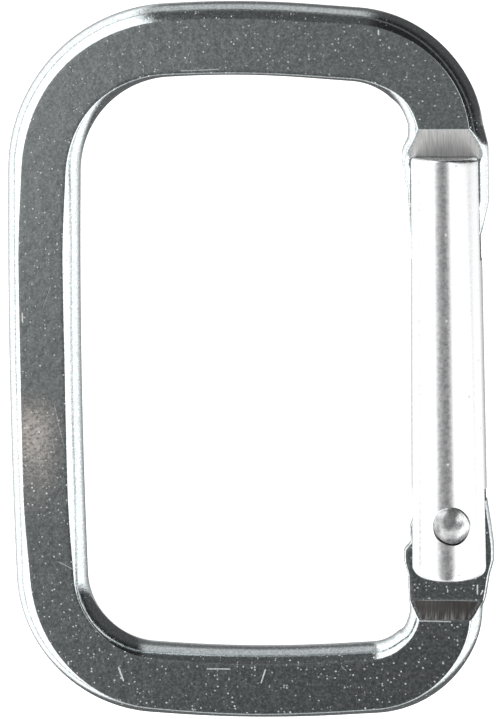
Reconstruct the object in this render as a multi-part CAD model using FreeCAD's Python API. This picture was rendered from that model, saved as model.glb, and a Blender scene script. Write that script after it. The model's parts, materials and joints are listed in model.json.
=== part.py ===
"""Snap-gate carabiner bent from one pressed aluminium bar.

Lies flat: X runs from the spine to the gate, Y from the hinge end to the nose, Z up through
the thickness. The origin is under the middle of the outline, level with the lowest point,
which is the rivet's tail. The pieces are drawn about the bar's middle plane and lifted last.
"""

import FreeCAD, Part
import math
import os

V = FreeCAD.Vector
ORIGIN = V(0, 0, 0)
UP = V(0, 0, 1)
ALONG_GATE = V(0, 1, 0)

# ---------------------------------------------------------------- driving sizes, millimetres
OVERALL_HEIGHT = 80.0
OVERALL_WIDTH = 53.6

# The bar: round rod pressed between flat dies, so its sides still bulge
BAR_WIDTH = 8.0
BAR_FLAT = 5.4
BAR_THICKNESS = 5.4

# The outline's bows. A fall is how far an end of a bow lies inside its peak, and the fill
# is how much of the straight run up to the next bend the bow's arc takes.
NOSE_BOW_FALL_TO_SPINE = 1.05
NOSE_BOW_FALL_TO_GATE = 1.8
HINGE_BOW_FALL_TO_SPINE = 1.25
HINGE_BOW_FALL_TO_GATE = 1.5
SPINE_FALL_TO_NOSE = 1.1
SPINE_FALL_TO_HINGE = 0.45
BOW_FILL = 0.85

# The four bends, on the bar's centre line
NOSE_SPINE_BEND = 14.7
NOSE_GATE_BEND = 10.7
HINGE_SPINE_BEND = 11.8
HINGE_GATE_BEND = 8.7
NOSE_CORNER_OUT = 0.95
HINGE_CORNER_IN = 0.6
NOSE_STUB = 0.8
BEND_UNDER_TANG = 0.1

# The two ends, pressed thin between sloping steps, which spreads them sideways
TONGUE_THICKNESS = 2.0
TONGUE_SPREAD = 0.72
TANG_SPREAD = 1.0
TONGUE_LENGTH = 10.2
NOSE_STEP = 3.4
TANG_STEP = 1.9
TANG_SHOWING = 2.6

# The gate
GATE_NARROWER_THAN_BAR = 0.1
GATE_TOP_ROUNDING = 0.5
GATE_END_ROUNDING = 0.9
GATE_BELOW_PIVOT = 6.35

# The hinge rivet
SHANK_RADIUS = 1.2
HEAD_RADIUS = 2.15
HEAD_PROUD = 0.5
HEAD_OFF_CENTRE = 0.6
TAIL_RADIUS = 2.05
TAIL_PROUD = 0.4
HEAD_RIM = 0.12

# The return spring and its pusher, in a blind bore up the gate
BORE_RADIUS = 2.2
SPRING_SPACE = 9.4
SPRING_WIRE = 0.44
SPRING_TURNS = 8
PUSHER_FLANGE = 1.6
PUSHER_STEM = 2.2
PUSHER_CHAMFER = 0.25

# The top of the tang: a cam that lifts the pusher, and a horn that stops the closed gate
CAM_HEIGHT = 2.4
CAM_SWEEP = math.radians(33)
CAM_POINTS = 7
SLOT_END_ABOVE_PIVOT = 3.6

# Clearances
HINGE_CLEARANCE = 0.05
PUSHER_CLEARANCE = 0.08
COIL_CLEARANCE = 0.38
STEM_CLEARANCE = 0.28
SLOT_CLEARANCE = 0.15
STOP_CLEARANCE = 0.03
REST_GAP = 0.02
NOSE_GAP = 0.25
TONGUE_TIP_GAP = 1.0

# ------------------------------------------------------------------------ sizes that follow
HALF_BAR = BAR_WIDTH / 2
HALF_THICKNESS = BAR_THICKNESS / 2
HALF_TONGUE = TONGUE_THICKNESS / 2
HALF_SLOT = HALF_TONGUE + SLOT_CLEARANCE
TONGUE_REACH = HALF_BAR + TONGUE_SPREAD
TANG_REACH = HALF_BAR + TANG_SPREAD

GATE_RADIUS = HALF_BAR - GATE_NARROWER_THAN_BAR / 2
GATE_X = OVERALL_WIDTH / 2 - TANG_REACH
SPRING_RADIUS = BORE_RADIUS - COIL_CLEARANCE - SPRING_WIRE / 2
PUSHER_RADIUS = BORE_RADIUS - PUSHER_CLEARANCE
PUSHER_STEM_RADIUS = SPRING_RADIUS - SPRING_WIRE / 2 - STEM_CLEARANCE
CAM_LIFT_PER_RADIAN = PUSHER_RADIUS - 2 * PUSHER_CHAMFER
MID_PLANE_HEIGHT = GATE_RADIUS + TAIL_PROUD


def shallow_bow(half_span, larger_bend, fall_a, fall_b):
    """A bow's arc radius, and how far the bow's corner point stands outside that arc."""
    turn = math.atan(fall_a / half_span) + math.atan(fall_b / half_span)
    reach = BOW_FILL * (half_span - larger_bend)
    return reach / math.tan(turn / 2), reach * math.tan(turn / 4)


HALF_WIDE = OVERALL_WIDTH / 2 - HALF_BAR
HALF_HIGH = OVERALL_HEIGHT / 2 - HALF_BAR
NOSE_BOW_RADIUS, beyond_nose_bow = shallow_bow(
    HALF_WIDE, max(NOSE_SPINE_BEND, NOSE_GATE_BEND), NOSE_BOW_FALL_TO_SPINE, NOSE_BOW_FALL_TO_GATE)
HINGE_BOW_RADIUS, beyond_hinge_bow = shallow_bow(
    HALF_WIDE, max(HINGE_SPINE_BEND, HINGE_GATE_BEND), HINGE_BOW_FALL_TO_SPINE, HINGE_BOW_FALL_TO_GATE)
SPINE_RADIUS, beyond_spine = shallow_bow(
    HALF_HIGH, max(NOSE_SPINE_BEND, HINGE_SPINE_BEND), SPINE_FALL_TO_NOSE, SPINE_FALL_TO_HINGE)
NOSE_PEAK_Y = HALF_HIGH + beyond_nose_bow
HINGE_PEAK_Y = -HALF_HIGH - beyond_hinge_bow
SPINE_PEAK_X = -HALF_WIDE - beyond_spine

NOSE_CORNER_Y = NOSE_PEAK_Y - NOSE_BOW_FALL_TO_GATE
HINGE_CORNER_Y = HINGE_PEAK_Y + HINGE_BOW_FALL_TO_GATE
NOSE_FOOT_Y = NOSE_CORNER_Y - NOSE_GATE_BEND - NOSE_STUB
TANG_FOOT_Y = HINGE_CORNER_Y + HINGE_GATE_BEND - BEND_UNDER_TANG
PIVOT = V(GATE_X, TANG_FOOT_Y + TANG_SHOWING + GATE_BELOW_PIVOT, 0)
GATE_TOP_Y = NOSE_FOOT_Y - NOSE_GAP


# --------------------------------------------------------------------- outlines and sweeps
def rounded_run(corners):
    """Lines and arcs of an open run of corners (x, y, radius), as (start, heading, end, centre, turn).

    A line has no centre. An arc touches both of its corner's legs: it begins and ends
    radius * tan(turn / 2) from the corner.
    """
    pieces = []
    start = V(corners[0][0], corners[0][1], 0)
    for before, corner, after in zip(corners, corners[1:], corners[2:]):
        point = V(corner[0], corner[1], 0)
        leg_in = (point - V(before[0], before[1], 0)).normalize()
        leg_out = (V(after[0], after[1], 0) - point).normalize()
        turn = math.atan2(leg_in.cross(leg_out).z, leg_in.dot(leg_out))
        radius = corner[2]
        reach = radius * math.tan(abs(turn) / 2)
        arc_start = point - leg_in * reach
        arc_end = point + leg_out * reach
        if (arc_start - start).Length > 1e-6:
            pieces.append((start, leg_in, arc_start, None, 0))
        if radius > 0:
            centre = arc_start + UP.cross(leg_in) * math.copysign(radius, turn)
            pieces.append((arc_start, leg_in, arc_end, centre, turn))
        start = arc_end
    end = V(corners[-1][0], corners[-1][1], 0)
    pieces.append((start, (end - start).normalize(), end, None, 0))
    return pieces


def plan_edge(start, end, centre, turn):
    """The edge of one piece of a run: a line, or an arc through its own middle point."""
    if centre is None:
        return Part.makeLine(start, end)
    half_turn = FreeCAD.Rotation(UP, math.degrees(turn / 2))
    middle = centre + half_turn.multVec(start - centre)
    return Part.Arc(start, middle, end).toShape()


def plate(corners, about, half_thickness):
    """A flat plate whose rounded outline, drawn about a point, closes on itself."""
    first, second = corners[0], corners[1]
    opening = ((first[0] + second[0]) / 2, (first[1] + second[1]) / 2, 0)
    closed = [opening] + list(corners[1:]) + [first, opening]
    edges = [plan_edge(start, end, centre, turn)
             for start, heading, end, centre, turn in rounded_run(closed)]
    face = Part.Face(Part.Wire(edges))
    solid = face.extrude(UP * (2 * half_thickness))
    solid.translate(about - UP * half_thickness)
    return solid


def bar_section():
    """The bar's cross-section, facing along Y: two flats joined by bulging sides."""
    half_flat = BAR_FLAT / 2
    top_left = V(-half_flat, 0, HALF_THICKNESS)
    top_right = V(half_flat, 0, HALF_THICKNESS)
    low_right = V(half_flat, 0, -HALF_THICKNESS)
    low_left = V(-half_flat, 0, -HALF_THICKNESS)
    edges = [
        Part.makeLine(top_left, top_right),
        Part.Arc(top_right, V(HALF_BAR, 0, 0), low_right).toShape(),
        Part.makeLine(low_right, low_left),
        Part.Arc(low_left, V(-HALF_BAR, 0, 0), top_left).toShape(),
    ]
    return Part.Face(Part.Wire(edges))


def sweep_bar(corners):
    """Carry the bar's section along a run: pushed down each line, turned round each arc."""
    section = bar_section()
    lengths = []
    for start, heading, end, centre, turn in rounded_run(corners):
        face = section.copy()
        face.rotate(ORIGIN, UP, math.degrees(math.atan2(heading.y, heading.x)) - 90)
        face.translate(start)
        if centre is None:
            lengths.append(face.extrude(end - start))
        else:
            lengths.append(face.revolve(centre, UP, math.degrees(turn)))
    return lengths[0].fuse(lengths[1:]).removeSplitter()


def pressed_away(foot_y, step, towards_bar):
    """The metal squeezed out above and below a thinned end.

    Seen from the side it is a wedge: it starts at the bar's full thickness, a step away
    from the foot, slopes down to the thin end at the foot, and goes on past the end.
    """
    past_end = foot_y - towards_bar * 2 * TONGUE_LENGTH
    full = foot_y + towards_bar * step
    side = [
        V(0, full, HALF_THICKNESS),
        V(0, foot_y, HALF_TONGUE),
        V(0, past_end, HALF_TONGUE),
        V(0, past_end, BAR_THICKNESS),
        V(0, full, BAR_THICKNESS),
    ]
    above = Part.Face(Part.makePolygon(side + side[:1])).extrude(V(4 * HALF_BAR, 0, 0))
    above.translate(V(GATE_X - 2 * HALF_BAR, 0, 0))
    return [above, above.mirror(ORIGIN, UP)]


def along_gate(radius, y_from, y_to):
    """A cylinder on the gate's axis, its ends measured from the pivot."""
    return Part.makeCylinder(radius, y_to - y_from, PIVOT + ALONG_GATE * y_from, ALONG_GATE)


def rims_by_height(solid):
    """A turned solid's circular edges, from the hinge end to the nose end."""
    rims = [edge for edge in solid.Edges if edge.Closed]
    return sorted(rims, key=lambda edge: edge.BoundBox.Center.y)


def slot(y_from, y_to):
    """A slot right through the gate from side to side, its ends measured from the pivot."""
    corner = PIVOT + V(-2 * GATE_RADIUS, y_from, -HALF_SLOT)
    return Part.makeBox(4 * GATE_RADIUS, y_to - y_from, 2 * HALF_SLOT, corner)


# ------------------------------------------------------------------------------ the bar
def nose_tongue():
    """The thin tongue that the gate's top slot closes over, drawn about the step's foot."""
    wide = TONGUE_REACH
    tip = -TONGUE_LENGTH
    outline = [
        (HALF_BAR + 0.5, NOSE_STEP + 0.4, 0),
        (-HALF_BAR + 0.85, NOSE_STEP + 0.4, 0),
        (-wide, 0.9, 0.8),
        (-wide, -1.7, 0.6),
        (-wide + 0.5, -2.9, 1.0),
        (-HALF_BAR, tip + 2.0, 3.0),
        (-0.6 * HALF_BAR, tip, 1.0),
        (0.6 * HALF_BAR, tip, 1.0),
        (HALF_BAR, tip + 2.0, 3.0),
        (wide, tip + 5.5, 3.0),
        (wide, 1.2, 2.0),
    ]
    return plate(outline, V(GATE_X, NOSE_FOOT_Y, 0), HALF_TONGUE)


def cam_point(angle):
    """Where the pusher's flat foot touches the cam when the gate has opened by an angle.

    The foot's height is CAM_HEIGHT + CAM_LIFT_PER_RADIAN * angle, so it rises evenly, which
    makes the cam the involute of a circle of that radius.
    """
    height = CAM_HEIGHT + CAM_LIFT_PER_RADIAN * angle
    sine = math.sin(angle)
    cosine = math.cos(angle)
    return V(-height * sine - CAM_LIFT_PER_RADIAN * cosine,
             height * cosine - CAM_LIFT_PER_RADIAN * sine, 0)


def cam_bulge():
    """The sliver between the cam's involute and its chord, which rounds the tang's corner."""
    points = [cam_point(CAM_SWEEP * i / (CAM_POINTS - 1)) for i in range(CAM_POINTS)]
    curve = Part.BSplineCurve()
    curve.interpolate(points)
    chord = Part.makeLine(points[-1], points[0])
    bulge = Part.Face(Part.Wire([curve.toShape(), chord])).extrude(UP * TONGUE_THICKNESS)
    bulge.translate(PIVOT - UP * HALF_TONGUE)
    return bulge


def hinge_tang():
    """The thin tang between the gate's ears, drawn about the pivot and bored for the rivet."""
    wide = TANG_REACH
    foot = TANG_FOOT_Y - PIVOT.y
    stop = SLOT_END_ABOVE_PIVOT - STOP_CLEARANCE
    cam_start = cam_point(0)
    cam_end = cam_point(CAM_SWEEP)
    outline = [
        (-HALF_BAR - 0.25, foot - TANG_STEP, 0),
        (HALF_BAR - 0.85, foot - TANG_STEP, 0),
        (HALF_BAR + 0.05, foot + 0.1, 1.5),
        (wide - 0.5, foot + 2.8, 3.0),
        (wide, foot + 4.6, 1.0),
        (wide, -2.8, 1.0),
        (wide - 0.25, -0.8, 2.0),
        (wide - 0.6, 1.5, 1.0),
        (GATE_RADIUS + 0.15, stop, 0.4),
        (BORE_RADIUS + 0.5, stop, 0.25),
        (BORE_RADIUS + 0.3, CAM_HEIGHT, 0.1),
        (cam_start.x, cam_start.y, 0),
        (cam_end.x, cam_end.y, 0),
        (-GATE_RADIUS + 0.2, 0.9, 0.6),
        (-GATE_RADIUS - 0.4, -0.9, 0.4),
        (-GATE_RADIUS - 0.2, -2.4, 0.3),
        (-wide, -3.4, 0.4),
        (-wide, -4.6, 0.5),
        (-wide + 0.4, foot + 2.9, 1.0),
        (-wide + 0.5, foot, 1.0),
    ]
    tang = plate(outline, PIVOT, HALF_TONGUE).fuse(cam_bulge())
    hole = Part.makeCylinder(SHANK_RADIUS + HINGE_CLEARANCE, TONGUE_THICKNESS, PIVOT - UP * HALF_TONGUE)
    return tang.cut(hole)


def make_body_bar():
    run = [
        (GATE_X + 0.15, NOSE_FOOT_Y, 0),
        (GATE_X + NOSE_CORNER_OUT, NOSE_CORNER_Y, NOSE_GATE_BEND),
        (0, NOSE_PEAK_Y, NOSE_BOW_RADIUS),
        (SPINE_PEAK_X + SPINE_FALL_TO_NOSE, NOSE_PEAK_Y - NOSE_BOW_FALL_TO_SPINE, NOSE_SPINE_BEND),
        (SPINE_PEAK_X, 0, SPINE_RADIUS),
        (SPINE_PEAK_X + SPINE_FALL_TO_HINGE, HINGE_PEAK_Y + HINGE_BOW_FALL_TO_SPINE, HINGE_SPINE_BEND),
        (0, HINGE_PEAK_Y, HINGE_BOW_RADIUS),
        (GATE_X - HINGE_CORNER_IN, HINGE_CORNER_Y, HINGE_GATE_BEND),
        (GATE_X - 0.3, TANG_FOOT_Y + 1.0, 0),
    ]
    bar = sweep_bar(run)
    bar = bar.cut(pressed_away(NOSE_FOOT_Y, NOSE_STEP, 1) + pressed_away(TANG_FOOT_Y, TANG_STEP, -1))
    return bar.fuse([nose_tongue(), hinge_tang()]).removeSplitter()


# ----------------------------------------------------------------------- the moving pieces
def make_gate():
    """Round rod, rounded at its ends, slotted for the tongue and tang, bored for the spring."""
    top = GATE_TOP_Y - PIVOT.y
    tongue_end = NOSE_FOOT_Y - PIVOT.y - TONGUE_LENGTH
    rod = along_gate(GATE_RADIUS, -GATE_BELOW_PIVOT, top)
    rod = rod.makeFillet(GATE_TOP_ROUNDING, [rims_by_height(rod)[-1]])
    rod = rod.makeFillet(GATE_END_ROUNDING, [rims_by_height(rod)[0]])
    bore_end = CAM_HEIGHT + REST_GAP + PUSHER_FLANGE + SPRING_SPACE
    rivet_hole = Part.makeCylinder(SHANK_RADIUS, 4 * GATE_RADIUS, PIVOT - UP * (2 * GATE_RADIUS))
    return rod.cut([
        slot(tongue_end - TONGUE_TIP_GAP, top + 1),
        slot(-GATE_BELOW_PIVOT - 1, SLOT_END_ABOVE_PIVOT),
        along_gate(BORE_RADIUS, -GATE_BELOW_PIVOT - 1, bore_end),
        rivet_hole,
    ])


def rivet_head(radius, proud, off_centre=0.0):
    """A low dome on a short rim, closed down onto the round of the gate.

    A hammered head spreads unevenly, so it may sit off the shank's centre.
    """
    rim_height = GATE_RADIUS + HEAD_RIM
    seat = GATE_RADIUS - radius
    rise = proud - HEAD_RIM
    dome_radius = (radius * radius + rise * rise) / (2 * rise)
    half_slope = math.asin(radius / dome_radius) / 2
    crown = V(0, 0, GATE_RADIUS + proud)
    halfway = crown + V(dome_radius * math.sin(half_slope), 0, dome_radius * (math.cos(half_slope) - 1))
    outline = [
        Part.makeLine(V(0, 0, seat), V(radius, 0, seat)),
        Part.makeLine(V(radius, 0, seat), V(radius, 0, rim_height)),
        Part.Arc(V(radius, 0, rim_height), halfway, crown).toShape(),
        Part.makeLine(crown, V(0, 0, seat)),
    ]
    head = Part.Face(Part.Wire(outline)).revolve(ORIGIN, UP, 360)
    head.translate(PIVOT + V(off_centre, 0, 0))
    return head.cut(along_gate(GATE_RADIUS, -2 * radius, 2 * radius))


def make_hinge_rivet():
    head = rivet_head(HEAD_RADIUS, HEAD_PROUD, HEAD_OFF_CENTRE)
    tail = rivet_head(TAIL_RADIUS, TAIL_PROUD).mirror(ORIGIN, UP)
    half_shank = GATE_RADIUS + HEAD_RIM
    shank = Part.makeCylinder(SHANK_RADIUS, 2 * half_shank, PIVOT - UP * half_shank)
    return shank.fuse([head, tail]).removeSplitter()


def make_spring_pusher():
    """A turned pin: a flange that rides in the bore and a stem that centres the spring."""
    foot = CAM_HEIGHT + REST_GAP
    shoulder = foot + PUSHER_FLANGE
    flange = along_gate(PUSHER_RADIUS, foot, shoulder)
    flange = flange.makeChamfer(PUSHER_CHAMFER, rims_by_height(flange))
    return flange.fuse(along_gate(PUSHER_STEM_RADIUS, shoulder - 0.5, shoulder + PUSHER_STEM)).removeSplitter()


def make_gate_spring():
    """An open coil between the pusher's flange and the blind end of the bore."""
    free_space = SPRING_SPACE - SPRING_WIRE - 4 * REST_GAP
    pitch = free_space / SPRING_TURNS
    lead = V(0, 2 * math.pi * SPRING_RADIUS, pitch)
    helix = Part.Wire(Part.makeHelix(pitch, free_space, SPRING_RADIUS))
    wire = Part.Wire(Part.makeCircle(SPRING_WIRE / 2, V(SPRING_RADIUS, 0, 0), lead))
    coil = helix.makePipeShell([wire], True, True)
    coil.rotate(ORIGIN, V(1, 0, 0), -90)
    first_turn = CAM_HEIGHT + REST_GAP + PUSHER_FLANGE + SPRING_WIRE / 2 + 2 * REST_GAP
    coil.translate(PIVOT + ALONG_GATE * first_turn)
    return coil


# ------------------------------------------------------------------------------- the pieces
pieces = {
    "body_bar": make_body_bar(),
    "gate": make_gate(),
    "hinge_rivet": make_hinge_rivet(),
    "spring_pusher": make_spring_pusher(),
    "gate_spring": make_gate_spring(),
}

# The outline's middle goes over the origin, and the rivet's tail down to z = 0.
outline = pieces["body_bar"].optimalBoundingBox(False, False)
to_frame = V(-outline.Center.x, -outline.Center.y, MID_PLANE_HEIGHT)
os.makedirs("parts", exist_ok=True)
for name, shape in pieces.items():
    shape.translate(to_frame)
    shape.exportStep("parts/" + name + ".step")
    box = shape.optimalBoundingBox(False, False)
    print("%-14s %d solid(s), valid %s, volume %.2f mm3, x %.2f to %.2f, y %.2f to %.2f, z %.2f to %.2f"
          % (name, len(shape.Solids), shape.isValid(), shape.Volume,
             box.XMin, box.XMax, box.YMin, box.YMax, box.ZMin, box.ZMax))
pivot = PIVOT + to_frame
print("gate pivot at x %.3f, y %.3f, z %.3f" % (pivot.x, pivot.y, pivot.z))
print("pusher lift per radian %.4f mm" % CAM_LIFT_PER_RADIAN)
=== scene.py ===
# %% [markdown]
# # A snap-gate carabiner, one piece at a time
# A bent bar of pressed aluminium, closed by a round gate that swings inwards on a hammered rivet.
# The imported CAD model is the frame: it gives every size and place, and this lesson builds the
# surfaces that show around it. The object lies flat, with X from the spine to the gate, Y from the
# hinge end to the nose, and Z up through the thickness.

# %% Load the frame
import json
import math

import bpy
import numpy as np
from mathutils import Matrix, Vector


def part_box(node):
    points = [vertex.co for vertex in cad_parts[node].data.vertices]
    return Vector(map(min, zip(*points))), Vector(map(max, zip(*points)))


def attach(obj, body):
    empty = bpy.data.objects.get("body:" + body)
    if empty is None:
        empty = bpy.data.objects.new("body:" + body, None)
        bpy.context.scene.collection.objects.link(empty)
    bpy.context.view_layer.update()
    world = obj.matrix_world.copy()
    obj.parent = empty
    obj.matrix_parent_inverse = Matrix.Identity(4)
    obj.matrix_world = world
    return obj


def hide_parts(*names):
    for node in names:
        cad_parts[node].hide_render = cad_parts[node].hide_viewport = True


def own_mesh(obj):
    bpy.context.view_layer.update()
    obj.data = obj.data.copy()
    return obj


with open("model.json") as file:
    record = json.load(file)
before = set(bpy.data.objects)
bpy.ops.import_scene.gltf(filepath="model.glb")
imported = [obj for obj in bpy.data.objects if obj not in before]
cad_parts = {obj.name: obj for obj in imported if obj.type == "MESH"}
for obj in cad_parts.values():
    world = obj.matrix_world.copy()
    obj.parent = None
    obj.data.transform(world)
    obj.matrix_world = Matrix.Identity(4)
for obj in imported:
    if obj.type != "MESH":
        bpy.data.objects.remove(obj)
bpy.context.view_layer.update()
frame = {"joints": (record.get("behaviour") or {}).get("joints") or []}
MM = 0.001

# %% [markdown]
# ## Where things are
# Everything hangs on two places: the hinge's axis, which the frame's joint gives, and the bar's
# middle plane, halfway up its thickness. The bar's own sizes are the ones its maker would set on
# the bending and pressing tools, so they are written once here, in millimetres.

# %% The hinge, the middle plane and the stock
joints = {joint["name"]: joint for joint in frame["joints"]}
pivot_x, pivot_y, middle_z = (v / MM for v in joints["gate_swing"]["pos_m"])
bar_low, bar_high = (np.array(corner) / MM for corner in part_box("body_bar"))
gate_low, gate_high = (np.array(corner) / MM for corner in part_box("gate"))
HALF_BAR = 4.0
HALF_THICK = (bar_high[2] - bar_low[2]) / 2
HALF_TONGUE = 1.0
print("hinge axis at", pivot_x, pivot_y, "middle plane", middle_z)

# %% [markdown]
# ## Turning a grid of points into a mesh
# Every new piece is a surface worked out as a grid: rows follow the piece's length and columns go
# round its section. One helper joins neighbouring points into four-sided faces, closes the ends
# and checks that the faces look outwards.

# %% The grid helper
def grid_faces(rows, columns):
    """Faces between neighbours of a grid whose columns close round.

    The face at row r and column c joins (r, c), (r, c + 1), (r + 1, c + 1) and (r + 1, c).
    """
    r, c = np.meshgrid(np.arange(rows - 1), np.arange(columns), indexing="ij")
    after = (c + 1) % columns
    this_row, next_row = r * columns, (r + 1) * columns
    quads = np.stack([this_row + c, this_row + after, next_row + after, next_row + c], -1)
    return quads.reshape(-1, 4)


def enclosed_volume(points, faces):
    """Six times the volume is the sum, over triangles, of a . (b x c): positive if faces look outwards."""
    total = 0.0
    for second, third in ((1, 2), (2, 3)):
        a, b, c = points[faces[:, 0]], points[faces[:, second]], points[faces[:, third]]
        total += np.einsum("ij,ij->i", a, np.cross(b, c)).sum() / 6
    return total


def shell_from_grids(name, grids, crease_degrees=40):
    """One mesh object from closed grids (rows x columns x 3, in mm), each end closed by one flat face."""
    points, faces, start = [], [], 0
    for grid in grids:
        rows, columns = grid.shape[:2]
        flat = grid.reshape(-1, 3)
        quads = grid_faces(rows, columns)
        loop = np.arange(columns)
        if enclosed_volume(flat - flat.mean(0), quads) < 0:
            quads = quads[:, ::-1]
            ends = [loop, (rows - 1) * columns + loop[::-1]]
        else:
            ends = [loop[::-1], (rows - 1) * columns + loop]
        faces += (quads + start).tolist() + [(end + start).tolist() for end in ends]
        points.append(flat)
        start += len(flat)
    mesh = bpy.data.meshes.new(name)
    mesh.from_pydata((np.concatenate(points) * MM).tolist(), [], faces)
    mesh.update()
    mesh.shade_smooth()
    mesh.set_sharp_from_angle(angle=math.radians(crease_degrees))
    piece = bpy.data.objects.new(name, mesh)
    bpy.context.scene.collection.objects.link(piece)
    print(name, len(mesh.vertices), "points,", len(mesh.polygons), "faces")
    return piece


# %% [markdown]
# ## The bar's centre line
# A bending jig makes the bar from straight runs and arcs. Each corner has a radius, and the arc
# touches both legs, so it begins and ends radius x tan(turn / 2) from the corner. The long sides
# are not quite straight: they are shallow bows, which is just a corner with a very large radius.

# %% Corners of the run
def shallow_bow(half_span, larger_bend, fall_a, fall_b, fill=0.85):
    """A bow's radius, and how far its corner stands outside it, from how much its two ends fall."""
    turn = math.atan(fall_a / half_span) + math.atan(fall_b / half_span)
    reach = fill * (half_span - larger_bend)
    return reach / math.tan(turn / 2), reach * math.tan(turn / 4)


GATE_X = 21.8
HALF_WIDE, HALF_HIGH = 26.8 - HALF_BAR, 40.0 - HALF_BAR
NOSE_GATE_BEND, NOSE_SPINE_BEND, HINGE_SPINE_BEND, HINGE_GATE_BEND = 10.7, 14.7, 11.8, 8.7
NOSE_FALL_TO_SPINE, NOSE_FALL_TO_GATE = 1.05, 1.8
HINGE_FALL_TO_SPINE, HINGE_FALL_TO_GATE = 1.25, 1.5
SPINE_FALL_TO_NOSE, SPINE_FALL_TO_HINGE = 1.1, 0.45
NOSE_STRAIGHT, TANG_STRAIGHT = 0.8, -0.1
PIVOT_ABOVE_TANG_FOOT = 2.6 + 6.35

nose_bow, beyond_nose = shallow_bow(HALF_WIDE, NOSE_SPINE_BEND, NOSE_FALL_TO_SPINE, NOSE_FALL_TO_GATE)
hinge_bow, beyond_hinge = shallow_bow(HALF_WIDE, HINGE_SPINE_BEND, HINGE_FALL_TO_SPINE, HINGE_FALL_TO_GATE)
spine_bow, beyond_spine = shallow_bow(HALF_HIGH, NOSE_SPINE_BEND, SPINE_FALL_TO_NOSE, SPINE_FALL_TO_HINGE)
nose_y, hinge_y, spine_x = HALF_HIGH + beyond_nose, -HALF_HIGH - beyond_hinge, -HALF_WIDE - beyond_spine
nose_foot = nose_y - NOSE_FALL_TO_GATE - NOSE_GATE_BEND - NOSE_STRAIGHT
tang_foot = hinge_y + HINGE_FALL_TO_GATE + HINGE_GATE_BEND + TANG_STRAIGHT
to_frame = np.array([pivot_x - GATE_X, pivot_y - (tang_foot + PIVOT_ABOVE_TANG_FOOT)])
corners = np.array([
    (GATE_X + 0.15, nose_foot, 0),
    (GATE_X + 0.95, nose_y - NOSE_FALL_TO_GATE, NOSE_GATE_BEND),
    (0, nose_y, nose_bow),
    (spine_x + SPINE_FALL_TO_NOSE, nose_y - NOSE_FALL_TO_SPINE, NOSE_SPINE_BEND),
    (spine_x, 0, spine_bow),
    (spine_x + SPINE_FALL_TO_HINGE, hinge_y + HINGE_FALL_TO_SPINE, HINGE_SPINE_BEND),
    (0, hinge_y, hinge_bow),
    (GATE_X - 0.6, hinge_y + HINGE_FALL_TO_GATE, HINGE_GATE_BEND),
    (GATE_X - 0.3, tang_foot, 0),
])
corners[:, :2] += to_frame
nose_foot += to_frame[1]
tang_foot += to_frame[1]
print("feet of the steps at y", round(nose_foot, 3), round(tang_foot, 3))

# %% The line itself
def rounded_line(corners, arc_step=math.radians(1.6), line_step=0.7):
    """Points and headings along a run: straight legs, and round each corner an arc of its radius."""
    points, headings = [], []
    at = corners[0, :2]
    for before, corner, after in zip(corners, corners[1:], corners[2:]):
        leg_in = (corner[:2] - before[:2]) / np.linalg.norm(corner[:2] - before[:2])
        leg_out = (after[:2] - corner[:2]) / np.linalg.norm(after[:2] - corner[:2])
        turn = math.atan2(leg_in[0] * leg_out[1] - leg_in[1] * leg_out[0], leg_in @ leg_out)
        reach = corner[2] * math.tan(abs(turn) / 2)
        arc_start = corner[:2] - leg_in * reach
        length = np.linalg.norm(arc_start - at)
        share = np.linspace(0, 1, max(2, int(length / line_step)), endpoint=False)[:, None]
        points.append(at + share * (arc_start - at))
        headings.append(np.repeat([leg_in], len(share), 0))
        side = np.array([-leg_in[1], leg_in[0]]) * math.copysign(1, turn)
        centre = arc_start + side * corner[2]
        count = max(int(abs(turn) / arc_step), int(abs(turn) * corner[2] / line_step), 3)
        angle = np.linspace(0, turn, count, endpoint=False)
        cosine, sine = np.cos(angle)[:, None], np.sin(angle)[:, None]
        spoke = arc_start - centre
        points.append(centre + spoke * cosine + np.array([-spoke[1], spoke[0]]) * sine)
        headings.append(leg_in * cosine + np.array([-leg_in[1], leg_in[0]]) * sine)
        at = corner[:2] + leg_out * reach
    end = corners[-1, :2]
    share = np.linspace(0, 1, max(2, int(np.linalg.norm(end - at) / line_step)))[:, None]
    points.append(at + share * (end - at))
    headings.append(np.repeat([(end - at) / np.linalg.norm(end - at)], len(share), 0))
    return np.concatenate(points), np.concatenate(headings)


line, heading = rounded_line(corners)
along = np.r_[0, np.cumsum(np.linalg.norm(np.diff(line, axis=0), axis=1))]
print("centre line", round(along[-1], 1), "mm long in", len(line), "points")

# %% [markdown]
# ## The bar's section
# The rod is pressed between flat dies, so it has two flats and sides that still bulge. One side is
# an arc through the flat's edge (a, h), the equator (b, 0) and (a, -h), with a small fillet where
# flat and arc meet. The same three numbers also describe the thin tongue and tang: wide, low and
# nearly square-edged. So one section function serves the whole bar.

# %% The section as a function of its three sizes
FLAT_COLUMNS, FILLET_COLUMNS, BULGE_COLUMNS = 15, 5, 13


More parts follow.
